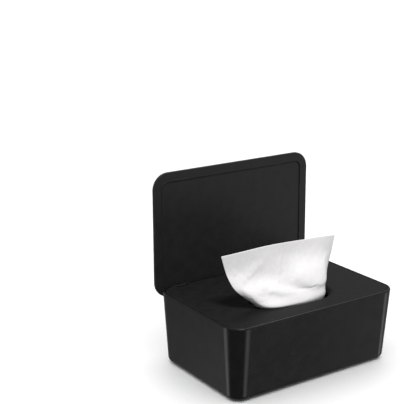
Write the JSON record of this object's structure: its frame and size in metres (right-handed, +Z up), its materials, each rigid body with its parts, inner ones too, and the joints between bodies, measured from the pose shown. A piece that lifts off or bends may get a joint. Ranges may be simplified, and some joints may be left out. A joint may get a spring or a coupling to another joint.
{
  "type": "wipes dispenser",
  "caption": "Countertop wipes dispenser: drafted tub, drop-in top panel with an oval rolled opening, rear-hinged flip lid standing open, folded wipes inside and a wipe standing in the opening.",
  "frame": {"origin": "middle of the footprint of the dispenser with its lid open, on the surface that the feet stand on", "axes": "+Z up, X along the dispenser's long side and the hinge, +Y towards the hinge at the rear"},
  "size_m": [0.19, 0.1374, 0.179],
  "materials": {
    "black_tub": "satin moulded, near-black with a cool cast",
    "black_panel": "fine matt moulded texture",
    "black_lid": "satin moulded",
    "black_silicone": "dull silicone",
    "pin_steel": "plain drawn wire",
    "white_nonwoven": "soft damp nonwoven",
    "stack_nonwoven": "soft damp nonwoven, folded"
  },
  "bodies": {
    "tub": {"tub": "black_tub", "foot_front_left": "black_silicone", "foot_front_right": "black_silicone", "foot_rear_left": "black_silicone", "foot_rear_right": "black_silicone", "folded_wipes": "stack_nonwoven"},
    "panel": {"top_panel": "black_panel", "panel_gasket": "black_silicone", "hinge_pin_left": "pin_steel", "hinge_pin_right": "pin_steel"},
    "lid": {"flip_lid": "black_lid", "lid_seal": "black_silicone"},
    "wipe": {"pulled_wipe": "white_nonwoven"}
  },
  "joints": [
    {"name": "panel_lift", "type": "slide", "parent": "tub", "child": "panel", "axis": [0, 0, 1], "range_m": [0, 0.08]},
    {"name": "lid_hinge", "type": "hinge", "parent": "panel", "child": "lid", "pos_m": [0, 0.05277, 0.0612], "axis": [-1, 0, 0], "range_deg": [-91, 0], "deforming": ["pulled_wipe"]},
    {"name": "wipe_pull", "type": "slide", "parent": "panel", "child": "wipe", "axis": [0, 0, 1], "range_m": [0, 0.1]}
  ]
}
